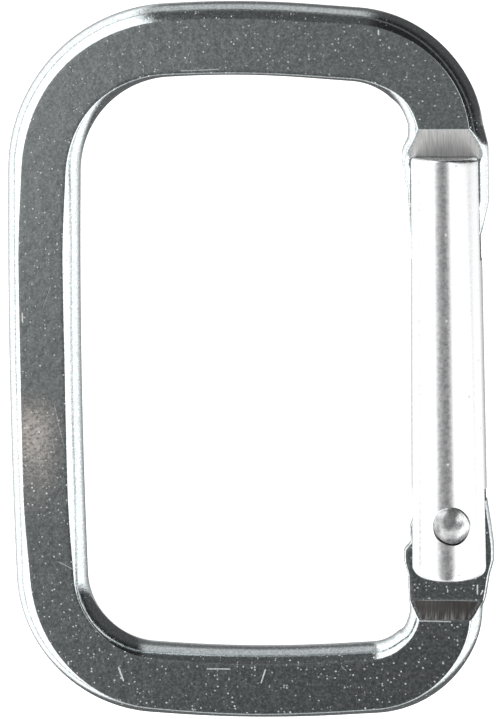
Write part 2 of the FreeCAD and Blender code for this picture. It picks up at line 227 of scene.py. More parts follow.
def side_profile(a, b, h, fillet):
    """One side's outline, top to bottom: fillet, bulge, fillet, as (rows, columns) of out and up.

    The bulge's circle has radius ((b - a)^2 + h^2) / (2 (b - a)) and its centre on the equator. The
    fillet's centre lies fillet below the flat and fillet inside that circle.
    """
    radius = ((b - a) ** 2 + h ** 2) / (2 * (b - a))
    centre = b - radius
    fillet_x = centre + np.sqrt((radius - fillet) ** 2 - (h - fillet) ** 2)
    tangent = np.arctan2(h - fillet, fillet_x - centre)
    share = np.linspace(0, 1, FILLET_COLUMNS, endpoint=False)
    angle = np.pi / 2 + (tangent[:, None] - np.pi / 2) * share
    top_out = fillet_x[:, None] + fillet[:, None] * np.cos(angle)
    top_up = (h - fillet)[:, None] + fillet[:, None] * np.sin(angle)
    angle = tangent[:, None] * np.linspace(1, -1, BULGE_COLUMNS)
    out = centre[:, None] + radius[:, None] * np.cos(angle)
    up = radius[:, None] * np.sin(angle)
    return (np.concatenate([top_out, out, top_out[:, ::-1]], 1),
            np.concatenate([top_up, up, -top_up[:, ::-1]], 1))


def bar_sections(rows):
    """Closed sections for rows of sizes: top flat, outer side, bottom flat, inner side."""
    outer, outer_up = side_profile(rows["a_out"], rows["b_out"], rows["h"], rows["fillet"])
    inner, inner_up = side_profile(rows["a_in"], rows["b_in"], rows["h"], rows["fillet"])
    share = np.linspace(0, 1, FLAT_COLUMNS + 2)[1:-1]
    flat = -inner[:, :1] + (outer[:, :1] + inner[:, :1]) * share
    height = np.repeat(rows["h"][:, None], FLAT_COLUMNS, 1)
    return (np.concatenate([flat, outer, flat[:, ::-1], -inner[:, ::-1]], 1),
            np.concatenate([height, outer_up, -height, inner_up[:, ::-1]], 1))


# %% [markdown]
# ## Pressed ends
# Two wedge-shaped dies squeeze each end thin. Along Y the half thickness falls in a straight slope
# from the bar's to the tongue's, with its two corners slightly rounded, and the metal that is
# pushed aside spreads the end wider than the bar. Rows turn level before the slope, so that its
# edges run straight across as the die's do. The edges of the tongue and the tang are lists of
# (height, distance from the axis): from the nose's foot for the tongue, from the rivet for the tang.

# %% Slopes and outlines of the two ends
NOSE_STEP, TANG_STEP, TONGUE_LENGTH = 3.4, 1.9, 10.2
EDGE = 0.035


def ramp(t, length):
    """0 before 0 and 1 after length, straight between, its corners rounded: a difference of soft hinges."""
    soft = lambda x: (x + np.sqrt(x * x + EDGE * EDGE)) / 2
    return (soft(t) - soft(t - length)) / length


def outline(y, corners, round_by=0.35):
    """An edge's distance from the axis, straight between corners (y, x) and averaged over a short length."""
    ys, xs = np.array(corners, float).T
    window = np.linspace(-round_by, round_by, 9)
    return np.interp(y[:, None] + window, ys, xs).mean(1)


def dense_near(places, start, end, coarse=0.45, fine=0.05, reach=0.3):
    """Heights from start to end, close together near each crease and wider apart elsewhere."""
    heights = [np.arange(start, end, coarse), [end]]
    for place in places:
        heights.append(np.arange(place - reach, place + reach + 1e-9, fine))
    heights = np.unique(np.round(np.concatenate(heights), 4))
    heights = heights[(heights >= start) & (heights <= end)]
    return heights[np.r_[True, np.diff(heights) > 0.02]]


tongue_left = [(-10.2, 2.4), (-8.4, 3.9), (-3.0, 4.15), (-2.5, 4.5), (-1.7, 4.6), (-1.2, 4.45), (-0.7, 4.85),
               (-0.2, 4.6), (0.9, 4.72), (2.3, 4.0), (9, 4.0)]
tongue_right = [(-10.2, 2.4), (-8.4, 3.9), (-4.9, 4.72), (1.3, 4.72), (3.8, 4.1), (9, 4.0)]
tang_left = [(-13, 4.05), (-10.86, 4.25), (-8.96, 4.5), (-6.06, 4.6), (-4.7, 5.0), (-3.4, 5.0), (-2.5, 4.2),
             (-0.9, 4.35), (0.9, 3.75), (1.9, 3.17), (2.12, 2.45), (2.28, 1.95), (2.39, 1.62)]
tang_right = [(-13, 3.0), (-10.86, 3.2), (-8.86, 4.05), (-6.2, 4.5), (-4.5, 5.0), (-2.8, 5.0), (-0.8, 4.75),
              (1.5, 4.4), (3.57, 4.1)]

# %% [markdown]
# ## Carrying the section along
# The rows run from the tongue's tip, round the whole bar, to the tang's top. Each row has a centre,
# a level direction that points outwards, and its section's sizes. The flat is not equally wide all
# round: it lies further in along the nose-end bow, and further out at the bend below the gate.

# %% Rows of the bar
def smooth(t):
    t = np.clip(t, 0, 1)
    return t * t * (3 - 2 * t)


outward = np.stack([heading[:, 1], -heading[:, 0]], 1)
nose_top, tang_top = nose_foot + NOSE_STEP + 0.5, tang_foot - TANG_STEP - 0.4
near_nose = along < 30
near_tang = along > along[-1] - 25

tongue_y = dense_near([nose_foot], nose_foot - TONGUE_LENGTH, nose_foot + 0.3, coarse=0.3)
step_y = dense_near([nose_foot, nose_foot + NOSE_STEP], nose_foot + 0.3, nose_top, coarse=0.25)[1:]
nose_rows_y = np.concatenate([tongue_y, step_y])
nose_x = np.interp(nose_rows_y, line[near_nose, 1], line[near_nose, 0])
in_gate = nose_rows_y < nose_foot
nose_x[in_gate] = GATE_X + to_frame[0] + 0.15 * smooth((nose_rows_y[in_gate] - nose_foot + 2) / 2)

tang_rows_y = dense_near([tang_foot - TANG_STEP, tang_foot], tang_top, pivot_y + 2.39, coarse=0.25)
tang_line = near_tang & (along > along[-1] - 14)
tang_x = np.interp(tang_rows_y, line[tang_line, 1], line[tang_line, 0])
above_foot = smooth((tang_rows_y - tang_foot) / 2)
tang_x = tang_x * (1 - above_foot) + pivot_x * above_foot

on_nose = near_nose & (line[:, 1] < nose_top + 0.15)
on_tang = near_tang & (line[:, 1] > tang_top - 0.15)
middle = np.where((along > 1) & ~on_nose & ~on_tang)[0]
turning_in = np.where(near_nose, smooth((line[:, 1] - nose_top) / 6.5), 1)
turning_out = np.where(near_tang, smooth((tang_top - line[:, 1]) / 5.0), 1)
level = (turning_in * turning_out)[:, None]
across = outward * level + np.array([1.0, 0.0]) * (1 - level)
across /= np.linalg.norm(across, axis=1)[:, None]
slant = 1 / np.einsum("ij,ij->i", across, outward)



def level_slant(xs, ys):
    """How much wider a level cut is than a square one: 1 / cos of the line's lean."""
    return 1 / np.cos(np.arctan2(np.gradient(xs), np.gradient(ys)))


LEVEL = [1.0, 0.0]
nose_centre, tang_centre = np.stack([nose_x, nose_rows_y], 1), np.stack([tang_x, tang_rows_y], 1)
rows_centre = np.concatenate([nose_centre, line[middle], tang_centre])
nose_across, tang_across = np.tile(LEVEL, (len(nose_x), 1)), np.tile(LEVEL, (len(tang_x), 1))
rows_across = np.concatenate([nose_across, across[middle], tang_across])
nose_slant = np.where(nose_rows_y > nose_foot + 0.3, level_slant(nose_x, nose_rows_y), 1)
tang_slant = np.where(tang_rows_y < tang_foot - 0.3, level_slant(tang_x, tang_rows_y), 1)
rows_slant = np.concatenate([nose_slant, slant[middle], tang_slant])
rows_along = np.concatenate([np.interp(nose_rows_y, line[near_nose, 1], along[near_nose]), along[middle],
                             np.interp(tang_rows_y, line[tang_line, 1], along[tang_line])])
print("rows", len(rows_centre), "level rows", len(nose_x), len(tang_x))

# %% Sizes of each row's section
FLATS = [  # millimetres along the centre line, flat's outer and inner half widths
    (0, 2.65, 2.75), (9, 2.8, 2.75), (14, 2.55, 3.45), (22, 2.3, 3.55), (34, 2.35, 3.6), (42, 2.15, 3.45),
    (50, 2.2, 3.05), (58, 2.0, 2.95), (68, 2.45, 2.5), (82, 2.35, 2.65), (98, 2.45, 2.6), (108, 1.9, 3.05),
    (114, 2.2, 3.1), (122, 2.95, 2.8), (134, 3.2, 2.55), (148, 3.05, 2.65), (162, 2.85, 2.7),
]
flat_places, *flat_reaches = np.array(FLATS).T
soft_run = rows_along[:, None] / along[-1] + np.linspace(-0.015, 0.015, 7)
flat_places = flat_places / flat_places[-1]
flat_outer, flat_inner = (np.interp(soft_run, flat_places, reach).mean(1) for reach in flat_reaches)
half = np.full(len(rows_centre), HALF_THICK)
is_nose = np.arange(len(half)) < len(nose_x)
is_tang = np.arange(len(half)) >= len(half) - len(tang_x)
drop = HALF_THICK - HALF_TONGUE
half[is_nose] = HALF_TONGUE + drop * ramp(nose_rows_y - nose_foot, NOSE_STEP)
half[is_tang] = HALF_TONGUE + drop * ramp(tang_foot - tang_rows_y, TANG_STEP)



def spread_edge(reach, off_axis, on_slope, own_edge):
    """A pressed end's edge from the row's centre, nowhere inside the bar's own edge on the slope."""
    return np.maximum(reach - off_axis, np.where(on_slope, own_edge, 0))


equator = HALF_BAR * rows_slant
outer_edge, inner_edge = equator.copy(), equator.copy()
from_foot = nose_rows_y - nose_foot
off_axis = nose_x - (GATE_X + to_frame[0])
over_foot, nose_own = from_foot > 0, equator[is_nose]
outer_edge[is_nose] = spread_edge(outline(from_foot, tongue_right), off_axis, over_foot, nose_own)
inner_edge[is_nose] = spread_edge(outline(from_foot, tongue_left), -off_axis, over_foot, nose_own)
from_pivot = tang_rows_y - pivot_y
off_axis = tang_x - pivot_x
under_foot, tang_own = tang_rows_y < tang_foot, equator[is_tang]
outer_edge[is_tang] = spread_edge(outline(from_pivot, tang_right), off_axis, under_foot, tang_own)
inner_edge[is_tang] = spread_edge(outline(from_pivot, tang_left, 0.12), -off_axis, under_foot, tang_own)


def flat_edge(a_bar, edge):
    """Where the flat ends: short of the edge by what the bar's own bulge has left at that half thickness.

    Spread metal has rounder edges: the tongue's take all of its spread and more, the slope's above it
    half, and the tang's a tenth.
    """
    a_bar = a_bar * rows_slant
    radius = ((equator - a_bar) ** 2 + HALF_THICK ** 2) / (2 * (equator - a_bar))
    bulge = radius - np.sqrt(radius ** 2 - half ** 2)
    rounder = np.full(len(half), 0.1)
    rounder[is_nose] = 1.2 - 0.7 * smooth((nose_rows_y - nose_foot + 0.5) / 1.2)
    return edge - bulge - rounder * np.maximum(edge - equator, 0)


sizes = {"a_out": flat_edge(flat_outer, outer_edge), "b_out": outer_edge,
         "a_in": flat_edge(flat_inner, inner_edge), "b_in": inner_edge, "h": half,
         "fillet": 0.06 + 0.05 * half}
offset, up = bar_sections(sizes)
bar_grid = np.empty((*offset.shape, 3))
bar_grid[..., :2] = rows_centre[:, None] + rows_across[:, None] * offset[..., None]
bar_grid[..., 2] = middle_z + up
print("bar grid", bar_grid.shape, "x", bar_grid[..., 0].min().round(3), bar_grid[..., 0].max().round(3),
      "y", bar_grid[..., 1].min().round(3), bar_grid[..., 1].max().round(3))

# %% The bar
bar = shell_from_grids("bent_bar", [bar_grid])
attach(bar, "bar")
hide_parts("body_bar")


def row_mark(name, heights, start, end, rows):
    """An attribute that is 1 on the flat columns of the rows between two heights, and 0 elsewhere."""
    value = np.zeros(bar_grid.shape[:2])
    inside = smooth((heights - start) / 0.12) * smooth((end - heights) / 0.12)
    flats = np.r_[0:FLAT_COLUMNS, FLAT_COLUMNS + 23:2 * FLAT_COLUMNS + 23]
    value[np.ix_(np.flatnonzero(rows), flats)] = inside[:, None]
    bar.data.attributes.new(name, "FLOAT", "POINT").data.foreach_set("value", value.ravel())
    print(name, "marks", int((value > 0.5).sum()), "points")


row_mark("nose_slope", nose_rows_y, nose_foot, nose_foot + NOSE_STEP, is_nose)
row_mark("hinge_slope", tang_rows_y, tang_foot - TANG_STEP, tang_foot, is_tang)
row_mark("tongue", nose_rows_y, nose_foot - 20, nose_foot, is_nose)

# %% [markdown]
# ## The gate
# A round rod, a little flatter than wide at its hinge end, where slotting and riveting have spread
# it. It is drilled from the hinge end for the spring, and slotted at both ends: the upper slot
# closes over the tongue, the lower one straddles the tang. It is three kinds of closed shell in one
# mesh: a middle turned as one profile (outside, drilled end, bore), and four D-shaped ears.

# %% Sizes of the gate
WIDE_AT_NOSE, WIDE_AT_HINGE_IN, WIDE_AT_HINGE_OUT, GATE_HALF_THICK = 3.8, 4.15, 4.35, 3.95
HALF_SLOT, BORE_RADIUS = 1.15, 2.2
gate_top, gate_end = gate_high[1], gate_low[1]
upper_slot_end = nose_foot - TONGUE_LENGTH - 1.0
lower_slot_end = pivot_y + 3.6
bore_end = pivot_y + 13.42
print("slots from", round(upper_slot_end, 2), "and to", round(lower_slot_end, 2))


def gate_section(y):
    """The rod's centre line and half width at a height, both straight from nose end to hinge end."""
    share = (gate_top - y) / (gate_top - gate_end)
    out = WIDE_AT_NOSE + (WIDE_AT_HINGE_OUT - WIDE_AT_NOSE) * share
    inn = WIDE_AT_NOSE + (WIDE_AT_HINGE_IN - WIDE_AT_NOSE) * share
    return (out - inn) / 2, (out + inn) / 2


def end_rounding(y, end, radius):
    """How far a rounded end draws the outline in, at a distance d from the end.

    It is radius x (1 - sqrt(1 - (1 - d / radius)^2)), a quarter circle.
    """
    near = np.clip(1 - np.abs(y - end) / radius, 0, 1)
    return radius * (1 - np.sqrt(1 - near ** 2))


# %% The middle of the gate
def gate_middle(columns=96):
    """A profile of (half width, half thickness, height) turned round the gate's axis."""
    y = np.linspace(upper_slot_end, lower_slot_end, 30)
    _, wide = gate_section(y)
    bore_y = np.array([lower_slot_end, (lower_slot_end + bore_end) / 2, bore_end])
    tiny = 0.02
    wide = np.r_[tiny, wide, np.full(3, BORE_RADIUS), tiny]
    thick = np.r_[tiny, np.full(30, GATE_HALF_THICK), np.full(3, BORE_RADIUS), tiny]
    height = np.r_[upper_slot_end, y, bore_y, bore_end]
    centre = np.where(wide > BORE_RADIUS, gate_section(height)[0], 0)
    angle = np.linspace(0, 2 * np.pi, columns, endpoint=False)
    return np.stack([pivot_x + centre[:, None] + wide[:, None] * np.cos(angle),
                     np.repeat(height[:, None], columns, 1),
                     middle_z + thick[:, None] * np.sin(angle)], -1)


# %% An ear
def ear(base, end, rounding, softening, side, groove):
    """A D-section carried from inside the middle to the gate's end.

    Round the outside goes the ellipse (a cos t, b sin t), cut off at the slot's half height. The
    inside is level at that height, or follows the bore's circle sqrt(r^2 - x^2) where that is higher.
    Across its width the end is rounded by one radius, through its thickness softened by a smaller one.
    The first rows stand inside the middle, drawn in a little, so no two faces share a plane.
    """
    reach = np.abs(end - base)
    steps = np.r_[-0.3, -0.02, 0, np.linspace(0.4, reach - rounding, 26)]
    steps = np.r_[steps, reach - rounding * (1 - np.sin(np.linspace(0, np.pi / 2, 9)[1:]))]
    steps = np.unique(np.r_[steps, reach - softening * (1 - np.sin(np.linspace(0, np.pi / 2, 6)[:-1]))])
    y = base + np.sign(end - base) * steps
    inset = np.where(steps < -0.01, 0.05, 0)
    centre, wide = gate_section(y)
    a = wide - end_rounding(y, end, rounding) - inset
    b = GATE_HALF_THICK - end_rounding(y, end, softening) - inset
    start = np.arcsin(HALF_SLOT / b)
    angle = start[:, None] + (np.pi - 2 * start)[:, None] * np.linspace(0, 1, 57)
    x_out = centre[:, None] + a[:, None] * np.cos(angle)
    z_out = b[:, None] * np.sin(angle)
    corner = math.sqrt(BORE_RADIUS ** 2 - HALF_SLOT ** 2)
    left, right = x_out[:, -1], x_out[:, 0]
    along_left = left[:, None] + (-corner - left)[:, None] * np.linspace(0, 1, 6)[1:-1]
    along_right = corner + (right - corner)[:, None] * np.linspace(0, 1, 6)[1:-1]
    across = corner * np.sin(np.linspace(-np.pi / 2, np.pi / 2, 17))
    x_in = np.concatenate([along_left, np.tile(across, (len(y), 1)), along_right], 1)
    radius = BORE_RADIUS + np.where(steps < -0.01, 0.05, 0)[:, None]
    z_in = np.full_like(x_in, HALF_SLOT)
    if groove:
        z_in = np.maximum(HALF_SLOT, np.sqrt(np.maximum(radius ** 2 - x_in ** 2, 0)))
    x, z = np.concatenate([x_out, x_in], 1), np.concatenate([z_out, z_in], 1)
    return np.stack([pivot_x + x, np.repeat(y[:, None], x.shape[1], 1), middle_z + side * z], -1)


upper_ears = [ear(upper_slot_end, gate_top + 0.4, 0.5, 0.25, side, False) for side in (1, -1)]
lower_ears = [ear(lower_slot_end, gate_end + 0.05, 1.25, 0.3, side, True) for side in (1, -1)]
gate = shell_from_grids("gate_rod", [gate_middle(), *upper_ears, *lower_ears])
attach(gate, "gate")
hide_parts("gate")

# %% [markdown]
# ## The hinge rivet
# The rivet is headed by hammering, so its head is a low dome with uneven facets, and it sits a
# little off its shank. A dome over a disc of radius R and rise h is h (1 - (r / R)^2), and a few
# crossing waves of different lengths stand for the hammer's marks.

# %% Heads and shank
SHANK_RADIUS = 1.2


def hammer_marks(x, y, seed):
    """Four crossing sine waves with seeded directions and phases, between -1 and 1."""
    random = np.random.default_rng(seed)
    height = np.zeros_like(x)
    for length in (3.4, 2.6, 1.9, 1.1):
        turn, phase = random.uniform(0, np.pi), random.uniform(0, 2 * np.pi)
        height += length * np.sin(2 * np.pi * (x * np.cos(turn) + y * np.sin(turn)) / length + phase)
    return height / 9.0


def rivet_head(radius, rise, depth, off_centre, side, seed, columns=96):
    """Rows go from the crown out to the rim and down the skirt; each is a circle round the head's axis.

    The rim turns over through a quarter circle of radius 0.1, and the skirt ends inside the gate. The
    hammer fell a little askew, so the dome leans: height rises with y, fading out at the rim.
    """
    rim, rim_rounding = GATE_HALF_THICK + 0.03, 0.10
    share = np.linspace(0.01, 1, 26)
    r = share * (radius - rim_rounding)
    z = rim + rim_rounding + (rise - rim_rounding - 0.09) * (1 - share ** 2)
    turn = np.linspace(0, np.pi / 2, 7)[1:]
    r = np.r_[r, radius - rim_rounding + rim_rounding * np.sin(turn), radius, radius]
    z = np.r_[z, rim + rim_rounding * np.cos(turn), rim - 0.6, depth]
    angle = np.linspace(0, 2 * np.pi, columns, endpoint=False)
    wobble = 1 + 0.018 * np.sin(2 * angle + seed) + 0.012 * np.sin(5 * angle + 2 * seed)
    x, y = r[:, None] * wobble * np.cos(angle), r[:, None] * wobble * np.sin(angle)
    fade = np.clip(1.15 - (r / radius) ** 4, 0, 1)[:, None] * (z > rim)[:, None]
    lean = 0.11 * y * np.clip(1 - (r / radius) ** 2, 0, 1)[:, None] * (z > rim)[:, None]
    z = z[:, None] + 0.05 * (hammer_marks(x, y, seed) - 1) * fade + lean
    return np.stack([pivot_x + off_centre + x, pivot_y + y, middle_z + side * z], -1)


def shank(columns=32):
    """A plain cylinder from inside one head to inside the other."""
    z = np.array([-3.2, 3.2])
    angle = np.linspace(0, 2 * np.pi, columns, endpoint=False)
    x, y = SHANK_RADIUS * np.cos(angle), SHANK_RADIUS * np.sin(angle)
    return np.stack([pivot_x + np.tile(x, (2, 1)), pivot_y + np.tile(y, (2, 1)),
                     middle_z + np.repeat(z[:, None], columns, 1)], -1)


front_head = rivet_head(2.1, 0.5, 2.6, 0.6, 1, 4)
back_head = rivet_head(2.0, 0.4, 2.8, 0.0, -1, 7)
rivet = shell_from_grids("hammered_rivet", [front_head, back_head, shank()])
# Painted shade: a dark band round the front head's rim, on its lower side only, where the rim's shadow
# falls.
near_rim = np.abs(np.arange(front_head.shape[0]) - 28) <= 4
round_head = np.linspace(0, 2 * np.pi, front_head.shape[1], endpoint=False)
corner = near_rim[:, None] * np.clip(-np.sin(round_head + 0.15) * 1.6 - 0.35, 0, 1)
painted_rim_shade = np.r_[corner.ravel(), np.zeros(len(rivet.data.vertices) - corner.size)]
rivet.data.attributes.new("painted_rim_shade", "FLOAT", "POINT").data.foreach_set("value", painted_rim_shade)
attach(rivet, "gate")
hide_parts("hinge_rivet")

# %% [markdown]
# ## Spring and pusher
# They show only through the hinge slot. The spring is wire carried along a helix whose first and
# last turns lie flat, as a ground compression spring's do. The pusher is a small turned pin with a
# flange. When the gate opens the tang's corner lifts the pusher.

# %% The spring
WIRE_RADIUS, COIL_RADIUS = 0.22, 1.6
spring_low, spring_high = (np.array(corner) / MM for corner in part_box("gate_spring"))


def coil(turns=8, rows=320, columns=10):
    """Wire round a helix: the height holds still for a turn at each end and climbs evenly between.

    The wire's circle is laid in the plane of the coil's own radius and the gate's axis.
    """
    turn = np.linspace(0, turns + 2, rows)
    low, high = spring_low[1] + WIRE_RADIUS, spring_high[1] - WIRE_RADIUS
    closed = 2.1 * WIRE_RADIUS
    y = np.interp(turn, [0, 1, turns + 1, turns + 2], [low, low + closed, high - closed, high])
    round_coil = 2 * np.pi * turn
    round_wire = np.linspace(0, 2 * np.pi, columns, endpoint=False)
    r = COIL_RADIUS + WIRE_RADIUS * np.cos(round_wire)
    return np.stack([pivot_x + r * np.cos(round_coil)[:, None],
                     y[:, None] + np.repeat(WIRE_RADIUS * np.sin(round_wire)[None], rows, 0),
                     middle_z + r * np.sin(round_coil)[:, None]], -1)


spring = shell_from_grids("coil_spring", [coil()])
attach(spring, "gate")
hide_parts("gate_spring")
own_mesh(spring)

# %% The pusher
pin_low, pin_high = (np.array(corner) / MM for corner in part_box("spring_pusher"))


def turned_pin(columns=48):
    """A profile of (radius, height) turned round the gate's axis: foot, flange, stem and tip."""
    radius = np.array([0.02, 1.87, 2.04, 2.12, 2.12, 2.04, 1.95, 1.1, 1.1, 1.02, 0.85, 0.02])
    above = np.array([0, 0, 0.08, 0.25, 1.42, 1.52, 1.6, 1.6, 3.55, 3.72, 3.8, 3.8])
    height = pin_low[1] + above * (pin_high[1] - pin_low[1]) / 3.8
    angle = np.linspace(0, 2 * np.pi, columns, endpoint=False)
    return np.stack([pivot_x + radius[:, None] * np.cos(angle), np.repeat(height[:, None], columns, 1),
                     middle_z + radius[:, None] * np.sin(angle)], -1)


pusher = shell_from_grids("pusher_pin", [turned_pin()])
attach(pusher, "pusher")
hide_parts("spring_pusher")

# %% [markdown]
# ## Wiring nodes
# Materials and the room are node trees. One helper adds a node, sets its options and fills its
# inputs, so that a tree reads as plain lines from the pattern down to the shader.

# %% One node in one line
def wire(tree, kind, inputs=None, output=0, **options):
    """Add a node; an input may be a number, a colour or another node's socket. Returns one output."""
    made = tree.nodes.new("ShaderNode" + kind)
    for option, value in options.items():
        setattr(made, option, value)
    for socket, value in (inputs or {}).items():
        if isinstance(value, bpy.types.NodeSocket):
            tree.links.new(value, made.inputs[socket])
        else:
            made.inputs[socket].default_value = value
    return made.outputs[output]


def between(tree, value, low, high, at_low=0.0, at_high=1.0):
    """Ease from at_low to at_high as a value goes from low to high."""
    return wire(tree, "MapRange", {"Value": value, "From Min": low, "From Max": high,
                                   "To Min": at_low, "To Max": at_high}, interpolation_type="SMOOTHSTEP")


def sums(tree, operation, a, b):
    """One step of arithmetic on two numbers or sockets."""
    return wire(tree, "Math", {0: a, 1: b}, operation=operation)


def times(tree, a, b):
    return sums(tree, "MULTIPLY", a, b)


def rest_of(tree, share):
    """1 minus a share."""
    return sums(tree, "SUBTRACT", 1.0, share)


def mixed(tree, amount, low, high):
    """A colour between two, each a colour with alpha or a socket, by an amount from 0 to 1."""
    return wire(tree, "Mix", {"Factor": amount, "A": low, "B": high}, output=2, data_type="RGBA")


def tint(tree, amount, low, high):
    """A colour between two plain colours."""
    return mixed(tree, amount, (*low, 1), (*high, 1))


def specks(tree, place, scale, inner, outer, rarest, surest, strength=1.0):
    """Small round marks at the middles of Voronoi cells, in those cells whose random colour picks them."""
    distance = wire(tree, "TexVoronoi", {"Vector": place, "Scale": scale}, output="Distance")
    colour = wire(tree, "TexVoronoi", {"Vector": place, "Scale": scale}, output="Color")
    picked = between(tree, wire(tree, "SeparateColor", {0: colour}), rarest, surest, 0.0, strength)
    return times(tree, between(tree, distance, inner, outer, 1.0, 0.0), picked)


def finish(tree, shader, colour, roughness, relief, depth):
    """Link a finish to its shader: colour, roughness, and a relief as deep as depth, in metres."""
    tree.links.new(colour, shader.inputs["Base Color"])
    tree.links.new(roughness, shader.inputs["Roughness"])
    bump = wire(tree, "Bump", {"Height": relief, "Strength": 1.0, "Distance": depth})
    tree.links.new(bump, shader.inputs["Normal"])


def metal(name):
    """A new metallic material: its tree, its shader and its place in the object's own coordinates."""
    material = bpy.data.materials.new(name)
    material.use_nodes = True
    tree = material.node_tree
    shader = tree.nodes["Principled BSDF"]
    shader.inputs["Metallic"].default_value = 1.0
    return material, tree, shader, wire(tree, "TexCoord", output="Object")


print("helpers ready")

# %% [markdown]
# ## Pressed aluminium
# The dies leave the flats nearly like mirrors, with a faint orange peel, a fine grain, and specks
# where grit was caught. On top of that are a few scratches, a place on the spine rubbed dull and
# painted with a warm highlight, and the two slopes, which the dies scraped lengthwise; the hinge
# end's slope is painted dark as shade.

# %% Marks on the pressed flats
top_z = middle_z + HALF_THICK


def scratch(tree, place, start, end, width, z):
    """1 within a width of a line from start to end: the distance to the nearest point of the line."""
    start, end = np.array([*start, z]) * MM, np.array([*end, z]) * MM
    length = np.linalg.norm(end - start)
    from_start = wire(tree, "VectorMath", {0: place, 1: start}, operation="SUBTRACT")
    per_length = (end - start) / length ** 2
    reach = wire(tree, "VectorMath", {0: from_start, 1: per_length}, output="Value", operation="DOT_PRODUCT")
    share = wire(tree, "Clamp", {"Value": reach})
    nearest = wire(tree, "VectorMath", {0: end - start, "Scale": share}, operation="SCALE")
    off = wire(tree, "VectorMath", {0: from_start, 1: nearest}, output="Value", operation="DISTANCE")
    return between(tree, off, 0.25 * width * MM, width * MM, 1.0, 0.0)


# Each mark goes from one place (x, y) to another, to the nearest half millimetre or finer where it
# has to stay on a narrow face, with a width in millimetres and a strength.
SCRATCHES = [
    ((-21.5, 9), (-22.5, 6.5), 0.07, 0.35), ((-21.5, -4), (-20.5, -9), 0.07, 0.30),
    ((-21.5, -22), (-19.5, -23), 0.07, 0.45), ((-15, -34), (-14.5, -35.5), 0.11, 0.85),
    ((1.5, -34), (1, -35.5), 0.09, 0.75), ((-5.5, 35), (-6, 33.5), 0.08, 0.30),
    ((15, 37), (15, 36.5), 0.09, 0.80), ((18, 32.5), (18, 31.5), 0.06, 0.25),
    ((-24.75, 6), (-24.75, 5), 0.12, 0.80), ((-6.5, 32.7), (-2.5, 32.85), 0.09, 0.60),
    ((-5, -34), (-2.5, -34), 0.11, 0.70), ((-10, 36), (-9.5, 35), 0.08, 0.25),
    ((10, -33.5), (10.5, -34), 0.09, 0.40), ((18.6, -28.2), (20.4, -28.2), 0.10, 0.80),
    ((20.5, -28.2), (22.1, -28.25), 0.09, 0.75),
]
TANG_TICKS = [((25, -24.5), (25, -25.5), 0.08, 0.8), ((25.6, -25.1), (25.4, -25.5), 0.09, 0.8),
              ((21.7, -25), (21.7, -25.3), 0.07, 0.7)]
print(len(SCRATCHES), "scratches")


# %% The pressed finish
def caught_grit(tree, place):
    """Bright specks: coarse grit, more of it in some patches, and finer dust everywhere."""
    patches = wire(tree, "TexNoise", {"Vector": place, "Scale": 190.0, "Detail": 2.0})
    grit = specks(tree, place, 1500.0, 0.05, 0.19, 0.72, 0.86)
    grit = times(tree, grit, between(tree, patches, 0.38, 0.6, 0.35, 1.0))
    dust = specks(tree, place, 3100.0, 0.15, 0.4, 0.70, 0.98, strength=0.75)
    return sums(tree, "MAXIMUM", grit, dust)


def all_marks(tree, place):
    """Grit and dust, and over them the scratches on the flats and the tang: the stronger mark wins."""
    marks = caught_grit(tree, place)
    for level, lines in ((top_z, SCRATCHES), (middle_z + HALF_TONGUE, TANG_TICKS)):
        for start, end, width, depth in lines:
            mark = times(tree, scratch(tree, place, start, end, width, level), depth)
            marks = sums(tree, "MAXIMUM", marks, mark)
    return marks


def rubbed_patch_with_highlight(tree, grain, height, sideways):
    """1 in the middle of the dull place on the spine, which also carries a painted warm highlight, fading
    out round it and broken by the grain.
    """
    rising = between(tree, height, -0.0190, -0.0070)
    falling = between(tree, height, -0.0070, -0.0010, 1.0, 0.0)
    from_outside = between(tree, sideways, -0.0265, -0.0245)
    to_inside = between(tree, sideways, -0.0235, -0.0195, 1.0, 0.0)
    inside = times(tree, times(tree, to_inside, from_outside), times(tree, rising, falling))
    return times(tree, inside, between(tree, grain, 0.25, 0.6, 0.45, 1.0))


